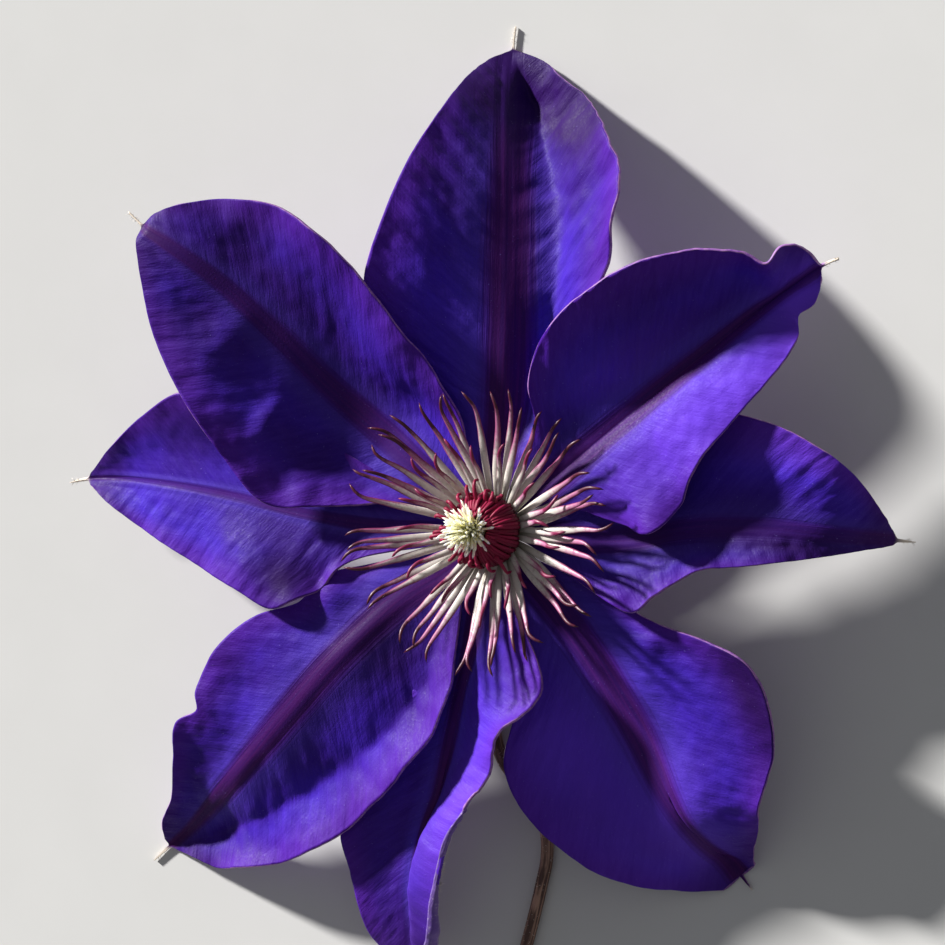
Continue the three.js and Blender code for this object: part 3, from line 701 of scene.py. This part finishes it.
back = Finish("sepal_back")
back_across = back.mark("across")
back_streaks = back.grain(
    back.spread(back.math("MULTIPLY", back.mark("along"), 0.06), back.math("MULTIPLY", back_across, 0.9)),
    1.3, 4, 0.6,
)
down = back.use(cell_grain, Scale=1900, Shiny=0.75, Dull=0.55)
midband = back.step(
    back.math("ADD", back.math("ABSOLUTE", back_across), back.math("MULTIPLY", back_streaks, 2.0)), 4.4, 2.6
)
back_colour = back.mix(back.step(back_streaks, 0.35, 0.65), back_mauve, back_violet)
back_colour = back.mix(back.step(back.mark("out"), 0.6, 1.0, 0.0, 0.7), back_colour, back_margin)
back_colour = back.mix(back.math("MULTIPLY", midband, 0.85), back_colour, back_rib)
back_colour = back.mix(back.step(down["Speckle"], 0.55, 0.75, 0.0, 0.4), back_colour, down_white)
back.set("Base Color", back.use(spine_tissue, Skin=back_colour)["Colour"])
back.set("Roughness", down["Roughness"])
back.surface.inputs["Sheen Weight"].default_value = 0.4
back.surface.inputs["Sheen Tint"].default_value = (0.85, 0.75, 0.95, 1)
back.set("Normal", back.bump(down["Speckle"], 0.00006, 0.7, back.bump(back_streaks, 0.0003, 0.6)))

edge = Finish("sepal_edge")
flecks = edge.use(cell_grain, Scale=900, Shiny=0.6, Dull=0.45)
edge_colour = edge.mix(edge.step(flecks["Speckle"], 0.4, 0.65), edge_pink, edge_violet)
edge.set("Base Color", edge.use(spine_tissue, Skin=edge_colour)["Colour"])
edge.set("Roughness", flecks["Roughness"])
edge.set("Normal", edge.bump(flecks["Speckle"], 0.00004, 0.5))

for number, sepal in enumerate(sepals):
    blade = piece_from(
        sepal_skin(sepal, 100 + 13 * number), sepal["name"] + "_blade",
        [face.material, back.material, edge.material], "sepal", sepal["name"],
    )
    body = blade.modifiers.new("thickness", "SOLIDIFY")
    body.thickness = sepal_thickness * mm
    body.offset = 0
    body.material_offset = 1
    body.material_offset_rim = 2


# ---------------------------------------------------------------- stamens
# Two whorls of flat stamens spread in spirals from the receptacle's side: long ones, and shorter
# ones that lie over their feet. A cream filament blushes pink upwards, where it carries a thin
# anther, and its maroon tip curls as it dries. The heart of the bloom leans a little to the right.
long_whorl = {  # each pair runs from the whorl's outermost stamen to its innermost; rise in degrees
    "count": 46, "reach": (25, 20.5), "rise": (18, 23),
    "foot_radius": (4.4, 3.9), "foot_height": (16.4, 16.9),
}
short_whorl = {
    "count": 24, "reach": (17, 9.5), "rise": (25, 31),
    "foot_radius": (3.9, 3.4), "foot_height": (17, 17.3),
}
anther_hook = 1.6
lean_at_foot = 1.3
lean_from, lean_to = 17, 26
golden_angle = math.pi * (3 - math.sqrt(5))
# The filament's greenish foot, darkened further with painted shade where the stamens crowd at the receptacle.
filament_foot_tint_and_shade = (0.36, 0.33, 0.24, 1)
filament_cream = (0.66, 0.62, 0.57, 1)
filament_pink = (0.43, 0.125, 0.275, 1)
filament_plum = (0.22, 0.018, 0.095, 1)
anther_maroon = (0.075, 0.004, 0.022, 1)
young_crimson = (0.200, 0.008, 0.060, 1)


def drawn_from(seed):
    """Repeatable random numbers from 0 to 1."""
    state = seed
    while True:
        state = (state * 1664525 + 1013904223) % 4294967296
        yield state / 4294967296


def between(pair, share):
    return pair[0] + (pair[1] - pair[0]) * share


def around(radius, bearing, height):
    return (radius * math.cos(bearing), radius * math.sin(bearing), height)


def lean_over(mesh):
    """Sets the heart's points aside by the lean at their height."""
    for vert in mesh.verts:
        upright = (vert.co.z / mm - lean_from) / (lean_to - lean_from)
        vert.co.x += lean_at_foot * mm * (1 - min(max(upright, 0), 1))


stamen_mesh = bmesh.new()
draws = drawn_from(7)
for whorl in (long_whorl, short_whorl):
    for at in range(whorl["count"]):
        inward = at / (whorl["count"] - 1)
        bearing = at * golden_angle + 0.05 * (next(draws) - 0.5)
        reach = between(whorl["reach"], inward * 0.6 + next(draws) * 0.4)
        slope = math.tan(math.radians(between(whorl["rise"], inward)))
        foot = between(whorl["foot_radius"], inward)
        base = between(whorl["foot_height"], inward)
        sway = 0.12 * (next(draws) - 0.5)
        curl = anther_hook * (next(draws) - 0.5)
        lift = 1.2 * next(draws)

        def height(radius):
            return base + slope * (radius - foot)

        knee = between((foot, reach), 0.35)
        shoulder = between((foot, reach), 0.75)
        bend = 0.03 * (next(draws) - 0.5)
        hook = 1.1 * curl / reach
        line = smooth_line([
            around(foot - 0.5, bearing, base - 0.2),
            around(foot, bearing, base),
            around(knee, bearing + sway * 0.3, height(knee)),
            around(shoulder, bearing + sway + bend, height(shoulder)),
            around(reach - 1.2, bearing + sway + bend / 2, height(reach - 1.2) + 0.5),
            around(reach + 0.2, bearing + sway + 0.7 * hook, height(reach) + 0.3 + lift / 2),
            around(reach + anther_hook, bearing + sway + 1.9 * hook, height(reach) + lift),
        ], 10)
        anther_start = (0.68 if whorl is long_whorl else 0.60) + 0.05 * math.sin(3 * at)
        tint = (at * 0.37) % 1
        full = 1.35 if whorl is long_whorl else 1.1
        young = 0 if whorl is long_whorl else 1
        strand(
            stamen_mesh, line, 26, 8,
            taper(
                (0, 0), (0.03, 0.8), (0.34, full), (0.56, full * 0.95), (anther_start, 0.95), (0.88, 0.62),
                (0.985, 0.42), (1, 0),
            ),
            taper((0, 0), (0.03, 0.6), (0.6, 0.45), (0.8, 0.4), (0.985, 0.34), (1, 0)),
            {
                "ripe": lambda share, angle: smoothstep(anther_start, anther_start + 0.24, share),
                "blush": lambda share, angle: share,
                "rim": lambda share, angle: abs(math.cos(angle)),
                "tint": lambda share, angle: tint,
                "young": lambda share, angle: young,
            },
        )
turned_body(
    stamen_mesh,
    [(2.6, 15.95), (4.4, 15.95), (5, 16.5), (4.5, 17.4), (3.8, 17.8), (2.6, 17.8), (2.6, 15.95)],
    32,
)
lean_over(stamen_mesh)

filament = Finish("stamen_filament")
blush = filament.mark("blush")
tint = filament.math("SUBTRACT", filament.mark("tint"), 0.5)
rim = filament.step(filament.mark("rim"), 0.35, 0.95)
cells = filament.use(cell_grain, Scale=1300, Shiny=0.36, Dull=0.58)
mottle = filament.math("SUBTRACT", cells["Speckle"], 0.5)
# Greenish foot with painted shade, turning cream upwards.
filament_colour = filament.mix(filament.step(blush, 0.0, 0.34), filament_foot_tint_and_shade, filament_cream)
pinkness = filament.math("ADD", blush, filament.math("MULTIPLY", tint, 0.20))
pinkness = filament.math("ADD", pinkness, filament.math("MULTIPLY", rim, 0.12))
pinkness = filament.math("ADD", pinkness, filament.math("MULTIPLY", mottle, 0.30))
filament_colour = filament.mix(filament.step(pinkness, 0.44, 0.78, 0.0, 0.95), filament_colour, filament_pink)
plum_rims = filament.math("MULTIPLY", rim, filament.step(blush, 0.38, 0.66, 0.0, 0.95))
filament_colour = filament.mix(plum_rims, filament_colour, filament_plum)
plum_flecks = filament.step(cells["Speckle"], 0.52, 0.72, 0.0, 0.30)
filament_colour = filament.mix(plum_flecks, filament_colour, filament_plum)
ripeness = filament.math("ADD", filament.mark("ripe"), filament.math("MULTIPLY", mottle, 0.7))
ripeness = filament.math("ADD", ripeness, filament.math("MULTIPLY", tint, 0.3))
anther_tone = filament.mix(filament.mark("young"), anther_maroon, young_crimson)
filament.set("Base Color", filament.mix(filament.step(ripeness, 0.25, 0.80), filament_colour, anther_tone))
filament.set("Roughness", cells["Roughness"])
filament.set("Normal", filament.bump(cells["Speckle"], 0.00006, 0.6))
piece_from(stamen_mesh, "spreading_stamens", [filament.material], "filament", "stamens")


# ---------------------------------------------------------------- inner stamens
# The innermost stamens stay short and crowd into a low crimson dome round the styles: dark anthers
# pressed side by side over a cushion of their own feet, some hooked out over the spreading stamens.
outer_ring = {  # points along an anther, as (radius, height)
    "count": 58, "width": 0.66,
    "foot": (5.1, 18.5), "belly": (6.3, 20.4), "brow": (4.8, 22.5), "tip": (3.0, 23.4),
}
inner_ring = {
    "count": 36, "width": 0.62,
    "foot": (3.4, 20.5), "belly": (4.0, 22.3), "brow": (3.2, 23.5), "tip": (2.0, 24.0),
}
plump_width = taper((0, 0), (0.05, 0.8), (0.5, 1.1), (0.93, 0.7), (1, 0))
plump_depth = taper((0, 0), (0.05, 0.8), (0.5, 0.95), (0.93, 0.6), (1, 0))
hooked_count = 30
cushion_outline = [  # radius, height
    (1.5, 15.95), (2.2, 15.95), (2.2, 18.2), (4.6, 18.4), (5.4, 20.2), (4.2, 22.0), (2.6, 22.9), (1.5, 22.9),
    (1.5, 15.95),
]
anther_shadow = (0.022, 0.001, 0.007, 1)
anther_crimson = (0.200, 0.003, 0.032, 1)
anther_bright = (0.400, 0.010, 0.075, 1)
pollen_pink = (0.48, 0.10, 0.18, 1)
inner_mesh = bmesh.new()
draws = drawn_from(11)
for ring in (outer_ring, inner_ring):
    for at in range(ring["count"]):
        bearing = 2 * math.pi * (at + 0.35 * (next(draws) - 0.5)) / ring["count"]
        bulge = 0.55 * (next(draws) - 0.5)
        fall = 0.8 * (next(draws) - 0.5)
        line = smooth_line([
            around(ring["foot"][0], bearing, ring["foot"][1]),
            around(ring["belly"][0] + bulge, bearing, ring["belly"][1]),
            around(ring["brow"][0] + bulge, bearing + 0.04 * fall, ring["brow"][1] + bulge),
            around(ring["tip"][0] + fall, bearing + 0.25 * fall, ring["tip"][1] + 0.6 * fall),
        ], 8)
        tint = (at * 0.41) % 1
        strand(
            inner_mesh, line, 14, 8,
            lambda share: ring["width"] * plump_width(share),
            lambda share: ring["width"] * plump_depth(share),
            {"tip": lambda share, angle: share, "tint": lambda share, angle: tint},
        )
for at in range(hooked_count):
    bearing = math.pi + 2.3 * (2 * (at + 1.6 * next(draws)) / hooked_count - 1)
    far = 6.3 + 3.2 * next(draws) ** 2
    crown = 21.4 + 0.9 * next(draws)
    line = smooth_line([
        around(4.2, bearing, 20.4),
        around(5.4, bearing, crown),
        around(far - 0.6, bearing + 0.06 * (next(draws) - 0.5), crown + 0.3),
        around(far, bearing + 0.10 * (next(draws) - 0.5), crown - 0.3),
        around(far - 0.1, bearing + 0.22 * (next(draws) - 0.5), crown - 1.1),
    ], 8)
    tint = (at * 0.37) % 1
    strand(
        inner_mesh, line, 14, 8,
        taper((0, 0), (0.05, 0.6), (0.5, 0.72), (0.93, 0.55), (1, 0)),
        taper((0, 0), (0.05, 0.5), (0.5, 0.5), (0.93, 0.42), (1, 0)),
        {"tip": lambda share, angle: 0.5 + 0.5 * share, "tint": lambda share, angle: tint},
    )
turned_body(inner_mesh, cushion_outline, 24)
lean_over(inner_mesh)

crimson = Finish("anther_crimson")
anther_dust = crimson.use(cell_grain, Scale=1700, Shiny=0.40, Dull=0.60)
anther_colour = crimson.mix(crimson.step(crimson.mark("tip"), 0.10, 0.8), anther_shadow, anther_crimson)
anther_colour = crimson.mix(crimson.math("MULTIPLY", crimson.mark("tint"), 0.5), anther_colour, anther_bright)
pollen = crimson.step(anther_dust["Speckle"], 0.62, 0.80, 0.0, 0.3)
anther_colour = crimson.mix(pollen, anther_colour, pollen_pink)
crimson.set("Base Color", anther_colour)
crimson.set("Roughness", anther_dust["Roughness"])
crimson.surface.inputs["Specular IOR Level"].default_value = 0.3
crimson.set("Normal", crimson.bump(anther_dust["Speckle"], 0.00008, 0.7))
piece_from(inner_mesh, "inner_anthers", [crimson.material], "anther", "inner_stamens")


# ---------------------------------------------------------------- styles
# A tuft of cream, silky styles stands on the ovaries at the receptacle's heart. They rise close
# together, green-yellow between them, and burst outward like the bristles of a brush.
style_count = 116
style_foot = 22.5
tuft_lean = 0.9
silk_gold = (0.98, 0.91, 0.33, 1)
silk_cream = (1.0, 0.98, 0.60, 1)
silk_fleck = (1.0, 0.95, 0.56, 1)
style_mesh = bmesh.new()
draws = drawn_from(5)
for at in range(style_count):
    bearing = at * golden_angle
    splay = math.sqrt((at + 0.5) / style_count)
    reach = 0.3 + 4.5 * splay + 1.6 * (next(draws) - 0.5)
    crown = 29.1 - 3.2 * splay ** 2.2 + 1.5 * (next(draws) - 0.5)
    sway = 0.25 * (next(draws) - 0.5)
    line = smooth_line([
        around(0.3 + 0.8 * splay, bearing, style_foot),
        around(0.35 + 1.7 * splay, bearing, style_foot + (crown - style_foot) * 0.55),
        around(0.3 + 0.78 * reach, bearing + sway / 2, style_foot + (crown - style_foot) * 0.88),
        around(reach, bearing + sway, crown),
    ], 8)
    strand(
        style_mesh, line, 9, 6,
        taper((0, 0), (0.05, 0.36), (0.6, 0.36), (0.95, 0.44), (1, 0)),
        taper((0, 0), (0.05, 0.34), (0.6, 0.34), (0.95, 0.40), (1, 0)),
        {"tip": lambda share, angle: share},
    )
turned_body(
    style_mesh,
    [(0, 15.95), (1.2, 15.95), (1.2, 21), (1.9, 24), (1.3, 25.6), (0.6, 26.2), (0, 26.3)],
    24,
)
lean_over(style_mesh)
for vert in style_mesh.verts:
    vert.co.x -= tuft_lean * mm * smoothstep(style_foot, 28, vert.co.z / mm)

silk = Finish("style_silk")
silk_grain = silk.use(cell_grain, Scale=1600, Shiny=0.45, Dull=0.65)
silk_colour = silk.mix(silk.step(silk.mark("tip"), 0.45, 0.85), silk_gold, silk_cream)
silk_colour = silk.mix(silk.step(silk_grain["Speckle"], 0.45, 0.75, 0.0, 0.4), silk_colour, silk_fleck)
silk.set("Base Color", silk_colour)
silk.set("Roughness", silk_grain["Roughness"])
silk.surface.inputs["Sheen Weight"].default_value = 0.8
silk.surface.inputs["Sheen Roughness"].default_value = 0.4
silk.surface.inputs["Sheen Tint"].default_value = (1.0, 0.95, 0.6, 1)
silk.surface.inputs["Subsurface Weight"].default_value = 1.0
silk.surface.inputs["Subsurface Radius"].default_value = (1.0, 0.95, 0.6)
silk.surface.inputs["Subsurface Scale"].default_value = 0.004
silk.set("Normal", silk.bump(silk_grain["Speckle"], 0.00005, 0.6))
piece_from(style_mesh, "style_tuft", [silk.material], "style", "styles")


# ---------------------------------------------------------------- fine hairs
# Short white hairs stand on the stalk, round the spines at the sepals' tips and along the bottom
# sepal's curled margin. Each one is a slender cone grown out of the skin under it.
stalk_hairs, spine_hairs, margin_hairs = 420, 16, 300
hair_width = 0.11
hair_white = (0.80, 0.76, 0.70, 1)
hair_tan = (0.66, 0.58, 0.50, 1)
hair_mesh = bmesh.new()
draws = drawn_from(23)


def grow_hair(foot, way, length):
    """One three-sided hair from its foot, never below the surface that the bloom lies on."""
    way = way.normalized()
    if foot.z + way.z * length < 0.1:
        return
    turned = way.to_track_quat("Z", "Y").to_matrix().to_4x4()
    middle = Matrix.Translation((flower_axis + foot + way * length / 2) * mm)
    bmesh.ops.create_cone(
        hair_mesh, cap_ends=True, segments=3, radius1=hair_width * mm / 2, radius2=0,
        depth=length * mm, matrix=middle @ turned,
    )


def any_way():
    return Vector((next(draws) - 0.5, next(draws) - 0.5, next(draws) - 0.5))


for at in range(stalk_hairs):
    share = between((0.12, 0.99), (at + next(draws)) / stalk_hairs)
    ahead = (stalk_line(share + 0.005) - stalk_line(share - 0.005)).normalized()
    outward = ahead.cross(any_way()).normalized()
    foot = stalk_line(share) + outward * stalk_radius * 0.96
    grow_hair(foot, outward + 0.8 * any_way(), 0.4 + 0.5 * next(draws))
for sepal in sepals:
    midrib = smooth_line(sepal["midrib"])
    turn = Matrix.Rotation(math.radians(sepal["bearing"]), 3, "Z")
    for at in range(spine_hairs):
        share = between((1 - 0.8 * spine_share, 0.995), (at + next(draws)) / spine_hairs)
        ahead = (midrib(1) - midrib(0.97)).normalized()
        outward = ahead.cross(any_way()).normalized()
        foot = midrib(share)
        foot.z = max(foot.z, sepal_thickness / 2)
        grow_hair(turn @ (foot + 0.18 * outward), turn @ (outward + 0.7 * ahead), 0.4 + 0.5 * next(draws))
    if "roll" in sepal:
        midrib, margin = smooth_line(sepal["midrib"]), smooth_line(sepal["left"])
        for at in range(margin_hairs):
            share = between((0.66, 0.97), (at + next(draws)) / margin_hairs)
            foot = margin(share) + 0.5 * any_way()
            outward = (foot - midrib(share)).normalized()
            grow_hair(turn @ foot, turn @ (outward + 0.9 * any_way()), 0.5 + 0.9 * next(draws))

hair = Finish("hair")
hair_cells = hair.use(cell_grain, Scale=1200, Shiny=0.4, Dull=0.6)
hair.set("Base Color", hair.mix(hair_cells["Speckle"], hair_white, hair_tan))
hair.set("Roughness", hair_cells["Roughness"])
piece_from(hair_mesh, "fine_hairs", [hair.material], "stalk")


# ---------------------------------------------------------------- surface, light and camera
# The bloom lies on a plain pale tabletop under one soft key light from the upper left, and the
# camera looks down on it, tipped a little to the right of its axis.
table_mesh = bmesh.new()
bmesh.ops.create_grid(table_mesh, x_segments=2, y_segments=2, size=1.5)
table_data = bpy.data.meshes.new("tabletop")
table_mesh.to_mesh(table_data)
table_mesh.free()
tabletop = bpy.data.objects.new("tabletop", table_data)
bpy.context.scene.collection.objects.link(tabletop)
paper = Finish("tabletop_paper")
paper_grain = paper.grain(paper.place(), 60, 4)
paper.set("Base Color", paper.mix(paper_grain, (0.66, 0.66, 0.65, 1), (0.70, 0.70, 0.69, 1)))
paper.surface.inputs["Roughness"].default_value = 0.85
paper.surface.inputs["Specular IOR Level"].default_value = 0.0
table_data.materials.append(paper.material)

key = bpy.data.lights.new("key_light", "SUN")
key.energy = 8.0
key.angle = math.radians(5)
key.color = (1.0, 0.98, 0.95)
key_lamp = bpy.data.objects.new("key_light", key)
key_from = Vector((-0.80, 0.60, 0.38))
key_lamp.rotation_euler = key_from.to_track_quat("Z", "Y").to_euler()
bpy.context.scene.collection.objects.link(key_lamp)

sky = bpy.data.worlds.new("studio")
sky.use_nodes = True
sky.node_tree.nodes["Background"].inputs["Color"].default_value = (0.93, 0.95, 1.0, 1)
sky.node_tree.nodes["Background"].inputs["Strength"].default_value = 0.20
bpy.context.scene.world = sky
bpy.context.scene.view_settings.view_transform = "Standard"

camera_tilt = math.radians(20)
camera_distance = 0.9
heart_height = 15
aim_left, aim_up = 3.04, 10.0  # of the heart, to where the camera aims
camera_data = bpy.data.cameras.new("camera")
camera_data.sensor_width = 36
camera_data.lens = 197.1
camera_data.clip_end = 10
camera = bpy.data.objects.new("camera", camera_data)
bpy.context.scene.collection.objects.link(camera)
towards = Vector((math.sin(camera_tilt), 0, math.cos(camera_tilt)))
rightwards = Vector((math.cos(camera_tilt), 0, -math.sin(camera_tilt)))
upwards = Vector((0, 1, 0))
heart = (flower_axis + Vector((0, 0, heart_height))) * mm
aim = heart - rightwards * aim_left * mm + upwards * aim_up * mm
view = Matrix((rightwards, upwards, towards)).transposed().to_4x4()
camera.matrix_world = Matrix.Translation(aim + towards * camera_distance) @ view
bpy.context.scene.camera = camera
